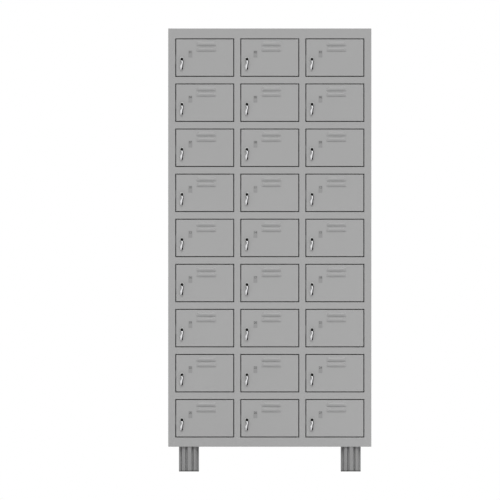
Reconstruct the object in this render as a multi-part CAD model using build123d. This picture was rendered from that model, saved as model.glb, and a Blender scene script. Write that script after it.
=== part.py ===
from build123d import *
import math
import os

# Free-standing sheet steel shoe locker: a grid of small compartments, each behind its own hinged
# door with a turning latch, on four round fluted legs.
# Millimetres. Z is up, the doors face -Y, and the origin is on the floor, under the middle of
# the whole locker with its handles.

# Grid of compartments, numbered row by row from the top left.
columns = 3
rows = 9

# Doors, as seen from the front.
door_width = 256.0
door_height = 164.0
door_gap = 4.0
door_sheet = 1.0
bend_radius = 0.5

# Welded front frame of box section, flush with the front edges of the outer panels.
stile_width = 31.5
mullion_width = 27.5
rail_height = 30.0
top_rail_height = 44.5
bottom_rail_height = 41.5
frame_depth = 20.0
frame_wall = 1.2

# Sheet metal body.
body_depth = 380.0
panel_sheet = 0.9
partition_sheet = 0.9
shelf_sheet = 0.9
shelf_lip = 12.0

# Pressed louvres, one above the other in each door, open along the lip at the bottom.
louvre_count = 2
louvre_width = 92.0
louvre_pitch = 24.5
louvre_shift = 6.7
louvre_first_lip = 29.0
louvre_end_slope = 1.8

# Louvre cross-sections from the lip to the top: how far above the lip, how far it stands out from
# the door, and how far in from each end.
louvre_sections = (
    (0.0, 2.4, 0.0),
    (3.0, 4.0, 0.8),
    (6.5, 5.5, 1.8),
    (10.0, 6.5, 3.2),
    (13.5, 7.0, 5.0),
    (16.3, 4.6, 7.0),
    (18.7, 0.4, 9.5),
)

# Number tag on each door.
tag_width = 17.5
tag_height = 31.0
tag_thickness = 0.8
tag_corner = 1.5
tag_from_left = 63.5
tag_from_top = 65.8

# Door hinge: one pivot pin at the top and one at the bottom, near the right-hand edge.
hinge_inset = 8.0
hinge_setback = 6.0
pin_diameter = 5.0
pin_inside = 12.0
pin_past_frame = 4.0
pin_collar_diameter = 8.0
pin_collar_thickness = 2.0
bearing_diameter = 9.0
bearing_clearance = 0.3
running_clearance = 0.05

# Keeper for the latch, a lip welded into the left-hand side of each opening.
keeper_reach = 12.0
keeper_height = 40.0
keeper_thickness = 1.5
door_stop_gap = 0.5

# Latch housing, a flanged bush held in the door by a nut.
latch_from_left = 25.7
latch_from_top = 89.0
housing_flange_diameter = 18.0
housing_flange = 1.5
housing_diameter = 14.0
housing_length = 9.0
housing_nut_flats = 19.0
housing_nut_thickness = 4.0

# Latch: a cast S-shaped lever with its spindle, a key plug, and a cam behind the door.
spindle_diameter = 8.0
hub_diameter = 13.0
hub_length = 10.0
hub_clearance = 0.3
plug_diameter = 11.4
plug_depth = 2.0
plug_proud = 0.8
keyway_width = 1.3
keyway_height = 6.0
tang_width = 5.5
cam_clearance = 1.0
cam_thickness = 2.5
cam_hub_diameter = 16.0
cam_width = 12.0
cam_reach = 33.0
cam_corner = 2.0
washer_diameter = 12.0
washer_thickness = 1.0
screw_diameter = 4.0
screw_length = 8.0
screw_head_diameter = 8.0
screw_head_height = 2.5

# Lever cross-sections from the hub to the tip. Each is an ellipse: how far it is below the
# spindle, how far to the right of it, how far its middle stands out from the door, its width
# and its thickness.
lever_sections = (
    (0.0, 0.0, 6.8, 11.0, 6.4),
    (5.0, 1.4, 7.2, 11.0, 6.2),
    (13.5, 3.4, 8.6, 11.8, 5.6),
    (23.0, 1.0, 10.2, 9.8, 5.2),
    (31.5, -1.8, 11.0, 11.0, 5.6),
    (40.0, 0.0, 10.4, 9.6, 5.2),
    (46.0, 2.0, 9.6, 7.4, 4.6),
    (48.5, 2.8, 9.3, 3.8, 3.0),
)

# Legs: columns with deep flutes and a deck at the top, bolted up into the bottom panel, each on
# a foot of the same outline. The turn is how far the first flute is from the front.
leg_height = 111.0
leg_diameter = 90.0
leg_flutes = 9
flute_width = 9.0
flute_depth = 13.5
flute_edge = 4.0
leg_turn = 24.0
leg_wall = 3.5
leg_deck = 6.0
leg_from_side = 92.6
leg_from_front = 48.0
leg_from_back = 48.0
foot_height = 6.0
foot_rounding = 2.0
spigot_height = 12.0
spigot_clearance = 0.2
bolts_per_leg = 4
bolt_circle = 38.0
bolt_diameter = 8.0
bolt_clearance = 0.5
bolt_flats = 13.0
bolt_head_height = 5.3
nut_height = 6.5
bolt_past_nut = 3.0

# Sizes that follow from the ones above.
opening_width = door_width + 2 * door_gap
opening_height = door_height + 2 * door_gap
column_pitch = opening_width + mullion_width
row_pitch = opening_height + rail_height
body_width = 2 * stile_width + columns * opening_width + (columns - 1) * mullion_width
body_height = (
    top_rail_height
    + rows * opening_height
    + (rows - 1) * rail_height
    + bottom_rail_height
)
body_left = -body_width / 2
body_right = body_width / 2
body_bottom = leg_height
body_top = leg_height + body_height
door_depth = frame_depth - keeper_thickness - door_stop_gap
cam_depth = frame_depth + cam_clearance
hub_back = housing_flange + hub_clearance
hub_front = hub_back + hub_length
lever_front = max(out + thick / 2 for _, _, out, _, thick in lever_sections)
handle_reach = max(hub_front + plug_proud, lever_front)
front_face = handle_reach - (body_depth + handle_reach) / 2
inner_depth = body_depth - panel_sheet


def block(x_low, x_high, depth_low, depth_high, z_low, z_high):
    """Box between two corners, with depths measured back from the front face of the frame."""
    solid = Box(
        x_high - x_low,
        depth_high - depth_low,
        z_high - z_low,
        align=(Align.MIN, Align.MIN, Align.MIN),
    )
    return Pos(x_low, front_face + depth_low, z_low) * solid


def upright_rod(x, depth, z_low, z_high, diameter):
    """Vertical cylinder at a place in plan."""
    rod = Cylinder(
        diameter / 2, z_high - z_low, align=(Align.CENTER, Align.CENTER, Align.MIN)
    )
    return Pos(x, front_face + depth, z_low) * rod


def turned(depth_low, depth_high, diameter):
    """Cylinder about the latch axis, which runs straight back through the door at the origin."""
    rod = Cylinder(
        diameter / 2, depth_high - depth_low, align=(Align.CENTER, Align.CENTER, Align.MIN)
    )
    return Pos(0, depth_low, 0) * Rot(-90, 0, 0) * rod


def hexagon(depth_low, depth_high, across_flats):
    """Hexagonal bar about the latch axis."""
    profile = Plane.XZ * RegularPolygon(across_flats / 2, 6, major_radius=False)
    return Pos(0, depth_low, 0) * extrude(profile, -(depth_high - depth_low))


def opening_left(column):
    """Left-hand edge of the frame openings in a column."""
    return body_left + stile_width + column * column_pitch


def opening_bottom(row):
    """Bottom edge of the frame openings in a row, the first row being at the top."""
    return body_top - top_rail_height - opening_height - row * row_pitch


def pin_place(column):
    """Where the hinge pins of a column stand, from side to side."""
    return opening_left(column) + opening_width - door_gap - hinge_inset


def pin_holes(column, z_low, z_high):
    """Hole for one hinge pin through a wall of a rail."""
    return upright_rod(
        pin_place(column),
        hinge_setback,
        z_low,
        z_high,
        pin_diameter + 2 * running_clearance,
    )


def upright(x_low, x_high, z_low, z_high):
    """Vertical frame member of box section."""
    outer = block(x_low, x_high, 0, frame_depth, z_low, z_high)
    hollow = block(
        x_low + frame_wall,
        x_high - frame_wall,
        frame_wall,
        frame_depth - frame_wall,
        z_low,
        z_high,
    )
    return outer - hollow


def crossbar(x_low, x_high, z_low, z_high):
    """Horizontal frame member of box section."""
    outer = block(x_low, x_high, 0, frame_depth, z_low, z_high)
    hollow = block(
        x_low,
        x_high,
        frame_wall,
        frame_depth - frame_wall,
        z_low + frame_wall,
        z_high - frame_wall,
    )
    return outer - hollow


def make_front_frame():
    """Stiles, rails, mullions and latch keepers, welded together face to face."""
    bottom = body_bottom + panel_sheet
    top = body_top - panel_sheet
    inner_left = body_left + stile_width
    inner_right = body_right - stile_width
    top_opening = body_top - top_rail_height
    bottom_opening = body_bottom + bottom_rail_height
    members = [
        upright(body_left + panel_sheet, inner_left, bottom, top),
        upright(inner_right, body_right - panel_sheet, bottom, top),
    ]
    top_rail = crossbar(inner_left, inner_right, top_opening, top)
    bottom_rail = crossbar(inner_left, inner_right, bottom, bottom_opening)
    for column in range(columns):
        top_rail -= pin_holes(column, top_opening, top_opening + frame_wall)
        bottom_rail -= pin_holes(column, bottom_opening - frame_wall, bottom_opening)
    members += [top_rail, bottom_rail]
    for column in range(1, columns):
        right = opening_left(column)
        members.append(upright(right - mullion_width, right, bottom_opening, top_opening))
    for column in range(columns):
        left = opening_left(column)
        for row in range(rows):
            members.append(make_keeper(column, row))
            if row == rows - 1:
                continue
            rail_top = opening_bottom(row)
            rail_bottom = rail_top - rail_height
            rail = crossbar(left, left + opening_width, rail_bottom, rail_top)
            rail -= pin_holes(column, rail_bottom, rail_bottom + frame_wall)
            rail -= pin_holes(column, rail_top - frame_wall, rail_top)
            members.append(rail)
    return members


def make_keeper(column, row):
    """Lip that the door closes against and the latch cam turns behind."""
    left = opening_left(column)
    middle = opening_bottom(row) + door_gap + door_height - latch_from_top
    return block(
        left,
        left + keeper_reach,
        frame_depth - keeper_thickness,
        frame_depth,
        middle - keeper_height / 2,
        middle + keeper_height / 2,
    )


def make_outer_panels():
    """Two sides, the top and the bottom, which is drilled for the leg bolts."""
    side_bottom = body_bottom + panel_sheet
    side_top = body_top - panel_sheet
    left_side = block(
        body_left, body_left + panel_sheet, 0, body_depth, side_bottom, side_top
    )
    right_side = block(
        body_right - panel_sheet, body_right, 0, body_depth, side_bottom, side_top
    )
    top = block(body_left, body_right, 0, body_depth, side_top, body_top)
    bottom = block(body_left, body_right, 0, body_depth, body_bottom, side_bottom)
    for x, depth in bolt_places():
        bottom -= upright_rod(
            x, depth, body_bottom, side_bottom, bolt_diameter + 2 * bolt_clearance
        )
    return [left_side, right_side, top, bottom]


def make_back_panel():
    """Back sheet, set in between the sides, the top and the bottom."""
    return [
        block(
            body_left + panel_sheet,
            body_right - panel_sheet,
            inner_depth,
            body_depth,
            body_bottom + panel_sheet,
            body_top - panel_sheet,
        )
    ]


def partition_middle(gap):
    """Middle of the partition behind a mullion, where 0 is the left-hand one."""
    return opening_left(gap + 1) - mullion_width / 2


def compartment_sides(column):
    """Inner faces of the sheets on the left and right of a column of compartments."""
    left = body_left + panel_sheet
    right = body_right - panel_sheet
    if column > 0:
        left = partition_middle(column - 1) + partition_sheet / 2
    if column < columns - 1:
        right = partition_middle(column) - partition_sheet / 2
    return left, right


def make_partitions_and_shelves():
    """Upright sheets between the columns, and a folded tray under each compartment."""
    pieces = []
    for gap in range(columns - 1):
        middle = partition_middle(gap)
        pieces.append(
            block(
                middle - partition_sheet / 2,
                middle + partition_sheet / 2,
                frame_depth,
                inner_depth,
                body_bottom + panel_sheet,
                body_top - panel_sheet,
            )
        )
    for column in range(columns):
        left, right = compartment_sides(column)
        for row in range(rows):
            top = opening_bottom(row)
            tray = block(left, right, frame_depth, inner_depth, top - shelf_lip, top)
            tray -= block(
                left + shelf_sheet,
                right - shelf_sheet,
                frame_depth + shelf_sheet,
                inner_depth - shelf_sheet,
                top - shelf_lip,
                top - shelf_sheet,
            )
            pieces.append(tray)
    return pieces


def leg_places():
    """Middle of each leg in plan, as x and depth."""
    reach = body_width / 2 - leg_from_side
    depths = (leg_from_front, body_depth - leg_from_back)
    return [(x, depth) for depth in depths for x in (-reach, reach)]


def bolt_circle_places(leg_x, leg_depth):
    """Middle in plan of each bolt round one leg, as x and depth."""
    places = []
    for number in range(bolts_per_leg):
        angle = math.radians(45 + number * 360 / bolts_per_leg)
        x = leg_x + bolt_circle / 2 * math.cos(angle)
        depth = leg_depth + bolt_circle / 2 * math.sin(angle)
        places.append((x, depth))
    return places


def bolt_places():
    """Middle in plan of every leg bolt, as x and depth."""
    return [place for leg in leg_places() for place in bolt_circle_places(*leg)]


def leg_outline():
    """Round outline of the legs and feet, with its flutes."""
    outline = Circle(leg_diameter / 2)
    middle = leg_diameter / 2 - flute_depth + flute_width / 2
    flute = Pos(middle, 0) * Circle(flute_width / 2)
    flute += Pos(middle + flute_depth / 2, 0) * Rectangle(flute_depth, flute_width)
    for number in range(leg_flutes):
        angle = leg_turn - 90 + number * 360 / leg_flutes
        outline -= Rot(0, 0, angle) * flute
    rim = leg_diameter / 2 - flute_width / 2
    corners = [v for v in outline.vertices() if math.hypot(v.X, v.Y) > rim]
    return fillet(corners, flute_edge)


def leg_bore():
    """Radius of the round hollow in a leg, inside its flutes."""
    return leg_diameter / 2 - flute_depth - leg_wall


def make_legs():
    """Four fluted columns, hollow below the deck that the bolts pass through."""
    column_height = leg_height - foot_height
    column = extrude(leg_outline(), column_height)
    column -= extrude(Circle(leg_bore()), column_height - leg_deck)
    bolt_hole = bolt_diameter + 2 * bolt_clearance
    legs = []
    for leg_x, leg_depth in leg_places():
        leg = Pos(leg_x, front_face + leg_depth, foot_height) * column
        for x, depth in bolt_circle_places(leg_x, leg_depth):
            leg -= upright_rod(x, depth, leg_height - leg_deck, leg_height, bolt_hole)
        legs.append(leg)
    return legs


def make_feet():
    """Feet pushed into the lower ends of the legs."""
    foot = extrude(leg_outline(), foot_height)
    foot = fillet(foot.edges().group_by(Axis.Z)[0], foot_rounding)
    spigot = Circle(leg_bore() - spigot_clearance)
    foot += Pos(0, 0, foot_height) * extrude(spigot, spigot_height)
    return [Pos(x, front_face + depth, 0) * foot for x, depth in leg_places()]


def make_leg_bolts():
    """Bolts up through the leg decks and the bottom panel, with a nut on each."""
    head_top = leg_height - leg_deck
    nut_bottom = body_bottom + panel_sheet
    nut_top = nut_bottom + nut_height
    flats = RegularPolygon(bolt_flats / 2, 6, major_radius=False)
    shank = Circle(bolt_diameter / 2)
    bolt = Pos(0, 0, head_top - bolt_head_height) * extrude(flats, bolt_head_height)
    bolt += Pos(0, 0, head_top) * extrude(shank, nut_top + bolt_past_nut - head_top)
    nut_hole = Circle(bolt_diameter / 2 + running_clearance)
    nut = Pos(0, 0, nut_bottom) * extrude(flats - nut_hole, nut_height)
    pieces = []
    for x, depth in bolt_places():
        pieces.append(Pos(x, front_face + depth, 0) * bolt)
        pieces.append(Pos(x, front_face + depth, 0) * nut)
    return pieces


def louvre_form(inset, back):
    """One louvre with its lip at z = 0, or with an inset the hollow under its skin."""
    height = louvre_sections[-1][0]
    forms = []
    for rise, out, end in louvre_sections:
        front = max(out - inset, inset / 4)
        half = louvre_width / 2 - end - inset
        slope = louvre_end_slope * front
        corners = [
            (-half, back),
            (-half, 0),
            (-half + slope, -front),
            (half - slope, -front),
            (half, 0),
            (half, back),
        ]
        place = Plane(origin=(0, 0, rise * (height - inset) / height))
        forms.append(place * make_face(Polyline(*corners, close=True)))
    return loft(forms, ruled=True)


def make_door_leaf():
    """Folded pan with its louvres, its latch hole and its hinge pin holes.

    Modelled with the lower left corner of its front face at the origin, facing -Y.
    """
    outer = Box(door_width, door_depth, door_height, align=(Align.MIN,) * 3)
    front_edges = outer.edges().group_by(Axis.Y)[0] + outer.edges().filter_by(Axis.Y)
    outer = fillet(front_edges, bend_radius + door_sheet)
    inner = Pos(door_sheet, door_sheet, door_sheet) * Box(
        door_width - 2 * door_sheet,
        door_depth - door_sheet,
        door_height - 2 * door_sheet,
        align=(Align.MIN,) * 3,
    )
    inner_edges = inner.edges().group_by(Axis.Y)[0] + inner.edges().filter_by(Axis.Y)
    leaf = outer - fillet(inner_edges, bend_radius)

    louvre = louvre_form(0, door_sheet / 2)
    hollow = louvre_form(door_sheet, door_sheet)
    for number in range(louvre_count):
        lip = door_height - louvre_first_lip - number * louvre_pitch
        place = Pos(door_width / 2 + louvre_shift, 0, lip)
        leaf = leaf + place * louvre - place * hollow

    latch_hole = turned(0, door_sheet, housing_diameter + 2 * running_clearance)
    leaf -= Pos(latch_from_left, 0, door_height - latch_from_top) * latch_hole
    pin_hole = Cylinder(pin_diameter / 2 + running_clearance, door_height)
    leaf -= Pos(door_width - hinge_inset, hinge_setback, door_height / 2) * pin_hole
    return leaf


def make_hinge_pin():
    """Shouldered pin, pointing up, with its collar seated under the sheet at z = 0."""
    length = door_sheet + door_gap + frame_wall + pin_past_frame
    pin = Pos(0, 0, -pin_inside) * Cylinder(
        pin_diameter / 2, pin_inside + length, align=(Align.CENTER, Align.CENTER, Align.MIN)
    )
    collar = Pos(0, 0, -pin_collar_thickness) * Cylinder(
        pin_collar_diameter / 2,
        pin_collar_thickness,
        align=(Align.CENTER, Align.CENTER, Align.MIN),
    )
    return pin + collar


def make_bearing():
    """Washer round the lower pin that keeps the door off the rail."""
    ring = Circle(bearing_diameter / 2) - Circle(pin_diameter / 2 + running_clearance)
    return extrude(ring, -(door_gap - bearing_clearance))


def make_latch_housing():
    """Flanged bush that the spindle turns in, and the nut that holds it in the door."""
    bush = turned(-housing_flange, 0, housing_flange_diameter)
    bush += turned(0, housing_length, housing_diameter)
    bush -= turned(
        -housing_flange, housing_length, spindle_diameter + 2 * running_clearance
    )
    nut = hexagon(door_sheet, door_sheet + housing_nut_thickness, housing_nut_flats)
    nut -= turned(
        door_sheet,
        door_sheet + housing_nut_thickness,
        housing_diameter + 2 * running_clearance,
    )
    return [bush, nut]


def make_tag():
    """Plate for the compartment's number, with its middle at the origin."""
    outline = Plane.XZ * RectangleRounded(tag_width, tag_height, tag_corner)
    return extrude(outline, tag_thickness)


def make_door():
    """Everything that swings with a door apart from the latch, as separate solids."""
    pin = make_hinge_pin()
    pin_x = door_width - hinge_inset
    upper_pin = Pos(pin_x, hinge_setback, door_height - door_sheet) * pin
    lower_pin = Pos(pin_x, hinge_setback, door_sheet) * Rot(180, 0, 0) * pin
    bearing = Pos(pin_x, hinge_setback, 0) * make_bearing()
    latch_place = Pos(latch_from_left, 0, door_height - latch_from_top)
    housing = [latch_place * piece for piece in make_latch_housing()]
    tag = Pos(tag_from_left, 0, door_height - tag_from_top) * make_tag()
    return [make_door_leaf(), upper_pin, lower_pin, bearing, *housing, tag]


def make_lever_casting():
    """Lever, hub and spindle in one casting, about the latch axis."""
    sections = []
    for drop, side, out, width, thick in lever_sections:
        place = Pos(side, -out, -drop)
        sections.append(place * Ellipse(width / 2, thick / 2))
    lever = loft(sections)
    hub = turned(-hub_front, -hub_back, hub_diameter)
    rim = hub.edges().filter_by(GeomType.CIRCLE).sort_by(Axis.Y)[0]
    hub = fillet(rim, (hub_diameter - plug_diameter) / 4)
    casting = hub + lever + turned(-hub_back, cam_depth, spindle_diameter)
    tang = Plane.XZ * Rectangle(tang_width, tang_width)
    casting += Pos(0, cam_depth, 0) * extrude(tang, -cam_thickness)
    casting -= turned(
        -hub_front, -hub_front + plug_depth, plug_diameter + 2 * running_clearance
    )
    screw_bottom = cam_depth + cam_thickness - screw_length
    casting -= turned(
        screw_bottom, cam_depth + cam_thickness, screw_diameter + 2 * running_clearance
    )
    return casting


def make_latch():
    """Everything that turns with the lever, as separate solids. The cam points up."""
    plug_front = hub_front + plug_proud
    plug = turned(-plug_front, -hub_front + plug_depth, plug_diameter)
    keyway = Rectangle(keyway_width, keyway_height)
    plug -= Pos(0, -plug_front, 0) * extrude(Plane.XZ * keyway, -plug_depth / 2)

    cam_back = cam_depth + cam_thickness
    cam = turned(cam_depth, cam_back, cam_hub_diameter)
    bar = Box(cam_width, cam_thickness, cam_reach, align=(Align.CENTER, Align.MIN, Align.MIN))
    tip_edges = bar.edges().filter_by(Axis.Y).group_by(Axis.Z)[-1]
    cam += Pos(0, cam_depth, 0) * fillet(tip_edges, cam_corner)
    hole = tang_width + 2 * running_clearance
    cam -= Pos(0, cam_depth + cam_thickness / 2, 0) * Box(hole, cam_thickness, hole)

    washer = turned(cam_back, cam_back + washer_thickness, washer_diameter)
    washer -= turned(
        cam_back, cam_back + washer_thickness, screw_diameter + 2 * running_clearance
    )
    head_front = cam_back + washer_thickness
    screw = turned(cam_back - screw_length, head_front, screw_diameter)
    screw += turned(head_front, head_front + screw_head_height, screw_head_diameter)
    return [make_lever_casting(), plug, cam, washer, screw]


def write_part(name, solids):
    """One file with the separate solids of a sub-part."""
    export_step(Compound(children=list(solids)), f"parts/{name}.step")


os.makedirs("parts", exist_ok=True)
write_part("front_frame", make_front_frame())
write_part("outer_panels", make_outer_panels())
write_part("back_panel", make_back_panel())
write_part("partitions_and_shelves", make_partitions_and_shelves())
write_part("legs_and_feet", make_legs() + make_feet())
write_part("leg_bolts", make_leg_bolts())

door = make_door()
latch = make_latch()
for row in range(rows):
    for column in range(columns):
        number = row * columns + column + 1
        x = opening_left(column) + door_gap
        z = opening_bottom(row) + door_gap
        door_place = Pos(x, front_face, z)
        latch_place = Pos(x + latch_from_left, front_face, z + door_height - latch_from_top)
        write_part(f"door_{number:02d}", [door_place * piece for piece in door])
        write_part(f"latch_{number:02d}", [latch_place * piece for piece in latch])

print("body", round(body_width, 2), "wide", round(body_height, 2), "high", body_depth, "deep")
print("front face at y =", round(front_face, 3), "handles stand out", round(handle_reach, 2))
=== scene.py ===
# %% [markdown]
# # A steel shoe locker, piece by piece
# The imported CAD model is the fixed frame: it says where every piece is and how the doors and
# latches move. Each visible piece is modelled again here with finer edges and a real finish, and
# then told which body of the frame it rides on. The first cell loads the frame and gives a helper
# that measures the box of any of its nodes. The finished locker has to stay inside it.

# %% Load the frame
import math

import bpy
from mathutils import Matrix, Vector


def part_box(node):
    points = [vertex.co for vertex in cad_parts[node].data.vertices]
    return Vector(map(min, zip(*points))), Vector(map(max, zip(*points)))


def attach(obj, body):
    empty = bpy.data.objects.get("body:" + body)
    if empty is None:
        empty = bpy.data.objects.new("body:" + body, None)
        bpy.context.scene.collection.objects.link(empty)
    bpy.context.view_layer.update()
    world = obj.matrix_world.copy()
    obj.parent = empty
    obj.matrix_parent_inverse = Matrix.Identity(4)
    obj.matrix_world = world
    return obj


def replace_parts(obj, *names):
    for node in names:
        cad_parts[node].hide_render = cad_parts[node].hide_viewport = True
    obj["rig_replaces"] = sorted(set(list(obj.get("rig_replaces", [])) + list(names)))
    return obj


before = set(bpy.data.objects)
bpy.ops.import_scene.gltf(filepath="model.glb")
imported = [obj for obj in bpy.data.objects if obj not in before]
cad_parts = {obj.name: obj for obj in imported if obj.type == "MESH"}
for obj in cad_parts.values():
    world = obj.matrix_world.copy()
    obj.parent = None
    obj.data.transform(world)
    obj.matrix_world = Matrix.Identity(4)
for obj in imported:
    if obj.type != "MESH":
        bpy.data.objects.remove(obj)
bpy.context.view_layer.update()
mm = 0.001

# %% [markdown]
# ## Where things are
# The locker is a grid of 3 columns and 9 rows, numbered like the words on a page. Everything that
# repeats is modelled once, for compartment 1 at the top left, and copied by the step from one
# compartment to the next. These places come from the CAD nodes, so nothing has to be fitted.

# %% Measure the grid
columns, rows = 3, 9
frame_low, frame_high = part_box("front_frame")
cabinet_low, cabinet_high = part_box("outer_panels")
front = cabinet_low.y
door_width, door_height, door_gap = 256 * mm, 164 * mm, 4 * mm
door_low, door_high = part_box("door_01")
door_left = door_low.x
door_right = door_left + door_width
door_bottom = (door_low.z + door_high.z - door_height) / 2
door_top = door_bottom + door_height
column_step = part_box("door_02")[0].x - door_low.x
row_step = door_low.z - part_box("door_04")[0].z
grid = []
for number in range(columns * rows):
    row, column = divmod(number, columns)
    grid.append((f"{number + 1:02d}", Vector((column * column_step, 0, -row * row_step))))
print("column step", round(column_step / mm, 2), "mm, row step", round(row_step / mm, 2), "mm")

# %% [markdown]
# ## Camera
# The photograph looks straight at the doors from far away: the sides of the cabinet are parallel
# and neither its side nor its top shows. A long lens would come close, but an orthographic camera
# does exactly this. Its scale is the photograph's, 4.48 mm to a pixel, and it stands a little to
# the left, because the locker is a little to the right of the middle.

# %% Place the camera
picture_width, metres_per_pixel = 500, 0.0044805
camera_place = (-0.0887, -6, 0.9925)
bpy.ops.object.select_all(action="DESELECT")
bpy.ops.object.camera_add(location=camera_place, rotation=(math.radians(90), 0, 0))
camera = bpy.context.object
camera.name = "camera"
camera.data.type = "ORTHO"
camera.data.ortho_scale = picture_width * metres_per_pixel
bpy.context.scene.camera = camera
print("the picture is", round(camera.data.ortho_scale, 3), "m wide")

# %% [markdown]
# ## Lamps
# The photograph has soft, even light, a little stronger from above, which shows the louvres. An
# area lamp would light the near doors more than the far ones. A sun lamp gives the same light to
# every door, and its wide angle makes soft shadows under the louvres. A weak second lamp behind
# keeps the back from going flat.

# %% Hang the lamps
def add_sun(name, strength, angle, elevation, azimuth):
    """A sun lamp. All angles are in degrees, and azimuth 0 is in front of the doors."""
    bpy.ops.object.light_add(
        type="SUN", rotation=(math.radians(90 - elevation), 0, math.radians(azimuth))
    )
    lamp = bpy.context.object
    lamp.name = name
    lamp.data.energy = strength
    lamp.data.angle = math.radians(angle)


add_sun("key", strength=1.50, angle=40, elevation=44, azimuth=2)
add_sun("back_fill", strength=0.9, angle=40, elevation=30, azimuth=150)

# %% [markdown]
# ## Helpers for nodes
# A material is a small network of nodes. These helpers keep the network short to write: one adds a
# node, sets its plain values and joins its inputs to other nodes, and the others do the same for a
# calculation and for a colour that gets lighter or darker.

# %% Add and join nodes
def set_inputs(tree, node, inputs):
    """Fills in the inputs of a node. Each is a value, or the output of another node."""
    for name, value in inputs.items():
        key = int(name[1:]) if name[1:].isdigit() else name.replace("_", " ")
        if isinstance(value, bpy.types.NodeSocket):
            tree.links.new(value, node.inputs[key])
        else:
            node.inputs[key].default_value = value
    return node


def add_node(tree, kind, settings=(), **inputs):
    """Adds a node. A setting is a property of it, and an input is called _0 or by its name."""
    node = tree.nodes.new(kind)
    for name, value in dict(settings).items():
        setattr(node, name, value)
    return set_inputs(tree, node, inputs)


def calculate(tree, operation, *values, clamp=False):
    """Adds a Math node and returns its result."""
    node = add_node(tree, "ShaderNodeMath", {"operation": operation, "use_clamp": clamp})
    set_inputs(tree, node, {f"_{number}": value for number, value in enumerate(values)})
    return node.outputs[0]


def scale_colour(tree, colour, factor):
    """Makes a colour lighter or darker."""
    node = add_node(tree, "ShaderNodeVectorMath", {"operation": "SCALE"}, _0=colour, Scale=factor)
    return node.outputs[0]


print("node helpers are ready")

# %% [markdown]
# ## World
# The world adds light from all around. What the camera sees behind the locker, and what shiny
# metal mirrors, is plain white. More light would also brighten the locker, so the white is only
# shown to rays that come from the camera, or that were mirrored or let through.

# %% Set up the world
white = (1, 1, 1, 1)
world = bpy.data.worlds.new("studio")
bpy.context.scene.world = world
world.use_nodes = True
tree = world.node_tree
tree.nodes.clear()
around = add_node(tree, "ShaderNodeBackground", Color=white, Strength=0.52)
backdrop = add_node(tree, "ShaderNodeBackground", Color=white, Strength=1)
rays = add_node(tree, "ShaderNodeLightPath").outputs
seen = calculate(tree, "MAXIMUM", rays["Is Camera Ray"], rays["Is Glossy Ray"])
seen_or_through = calculate(tree, "MAXIMUM", seen, rays["Is Transmission Ray"])
mix = add_node(
    tree, "ShaderNodeMixShader", Fac=seen_or_through, _1=around.outputs[0], _2=backdrop.outputs[0]
)
add_node(tree, "ShaderNodeOutputWorld", Surface=mix.outputs[0])
bpy.context.scene.view_settings.view_transform = "Standard"
print("the world has", len(tree.nodes), "nodes")

# %% [markdown]
# ## Materials and node groups
# Each finish is a material with one Principled shader. An effect that many finishes share is built
# once as a node group, with named inputs that every material fills in with its own amounts.

# %% Start materials and groups
def new_finish(name, metallic=0.0, specular=0.5):
    """A material whose Principled shader is ready to be joined."""
    material = bpy.data.materials.new(name)
    material.use_nodes = True
    shader = material.node_tree.nodes["Principled BSDF"]
    shader.inputs["Metallic"].default_value = metallic
    shader.inputs["Specular IOR Level"].default_value = specular
    return material, material.node_tree, shader


def new_group(name, inputs, outputs):
    """A node group with named inputs and outputs. Returns it, the given inputs and its end."""
    group = bpy.data.node_groups.new(name, "ShaderNodeTree")
    for socket, kind, value in inputs:
        made = group.interface.new_socket(socket, in_out="INPUT", socket_type="NodeSocket" + kind)
        made.default_value = value
    for socket, kind in outputs:
        group.interface.new_socket(socket, in_out="OUTPUT", socket_type="NodeSocket" + kind)
    return group, group.nodes.new("NodeGroupInput").outputs, group.nodes.new("NodeGroupOutput")


def use_group(tree, group, **inputs):
    """Places a group in a material and fills in its inputs."""
    return set_inputs(tree, add_node(tree, "ShaderNodeGroup", {"node_tree": group}), inputs)


print("material helpers are ready")

# %% [markdown]
# ## Coated surface
# Powder coat is sprayed on dry and melted in an oven. It levels out into tiny waves, called orange
# peel, a few millimetres across, with a finer grain on top. A little unevenness in thickness makes
# the colour and the gloss drift very slightly from place to place. The same three things, with
# other amounts, describe moulded plastic, plating and brushed metal, so they become one node group
# that each finish fills in with its own values. Noise read from Object coordinates stays fixed to
# the piece when a door swings.

# %% Build the uneven surface group
uneven, given, end = new_group(
    "uneven_surface",
    [
        ("Colour", "Color", (0.5, 0.5, 0.5, 1)),
        ("Drift", "Float", 0.03),
        ("Drift size", "Float", 0.2),
        ("Roughness", "Float", 0.5),
        ("Roughness drift", "Float", 0.05),
        ("Wave size", "Float", 0.003),
        ("Wave height", "Float", 0.00002),
        ("Grain size", "Float", 0.0006),
        ("Grain height", "Float", 0.000003),
        ("Stretch", "Vector", (1, 1, 1)),
    ],
    [("Colour", "Color"), ("Roughness", "Float"), ("Height", "Float"), ("Normal", "Vector")],
)
place = add_node(uneven, "ShaderNodeTexCoord").outputs["Object"]
stretched = add_node(
    uneven, "ShaderNodeVectorMath", {"operation": "MULTIPLY"}, _0=place, _1=given["Stretch"]
).outputs[0]


def noise_of_size(size, detail):
    """Noise whose lumps are about as large as the given output, in metres."""
    scale = calculate(uneven, "DIVIDE", 1.0, size)
    noise = add_node(uneven, "ShaderNodeTexNoise", Vector=stretched, Scale=scale, Detail=detail)
    return noise.outputs["Fac"]


def around_zero(value, amount):
    """The noise moved to lie around zero, and scaled."""
    return calculate(uneven, "MULTIPLY", calculate(uneven, "SUBTRACT", value, 0.5), amount)


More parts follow.
